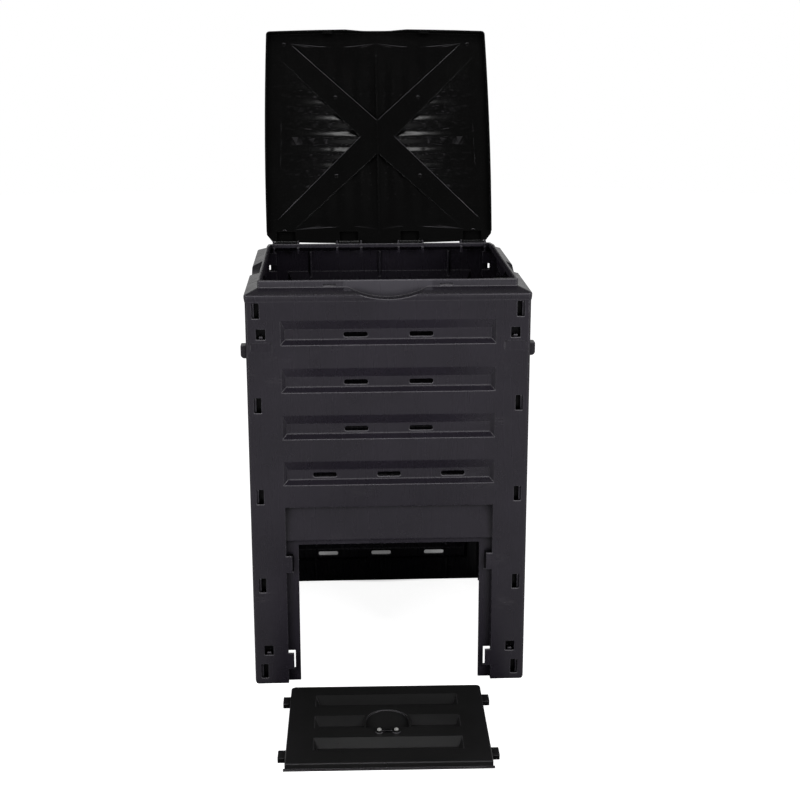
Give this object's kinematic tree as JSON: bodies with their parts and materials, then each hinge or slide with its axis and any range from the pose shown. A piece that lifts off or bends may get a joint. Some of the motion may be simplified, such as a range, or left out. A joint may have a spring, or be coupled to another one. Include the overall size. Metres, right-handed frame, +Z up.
{
  "type": "compost bin with lid",
  "caption": "Square dark plastic compost bin with vented louvred walls, open hinged lid and lift-out hatch lying in front.",
  "frame": {"origin": "on the ground, under the middle of the whole object with its lid open and its hatch lying in front", "axes": "+Z up, +X to the right seen from the hatch side, +Y from the hatch side towards the lid hinges"},
  "size_m": [0.603, 1.199, 1.3598],
  "materials": {
    "wall_plastic": "satin moulded",
    "lid_plastic": "satin moulded",
    "hatch_plastic": "satin moulded",
    "pin_plastic": "smooth moulded"
  },
  "bodies": {
    "bin_body": {"front_panel": "wall_plastic", "rear_panel": "wall_plastic", "left_panel": "wall_plastic", "right_panel": "wall_plastic", "corner_lock_front_left": "wall_plastic", "corner_lock_front_right": "wall_plastic", "corner_lock_rear_left": "wall_plastic", "corner_lock_rear_right": "wall_plastic", "hinge_pin_1": "pin_plastic", "hinge_pin_2": "pin_plastic", "hinge_pin_3": "pin_plastic", "hinge_pin_4": "pin_plastic"},
    "lid_body": {"lid": "lid_plastic"},
    "hatch_body": {"hatch": "hatch_plastic", "hatch_pull_link": "pin_plastic", "hatch_pull_rivets": "pin_plastic"}
  },
  "joints": [
    {"name": "lid_hinge", "type": "hinge", "parent": "bin_body", "child": "lid_body", "pos_m": [0, 0.34635, 0.8686], "axis": [1, 0, 0], "range_deg": [0, 116.5]},
    {"name": "hatch_lift", "type": "slide", "parent": "bin_body", "child": "hatch_body", "axis": [0, 0, 1], "range_m": [0, 0.35]}
  ]
}
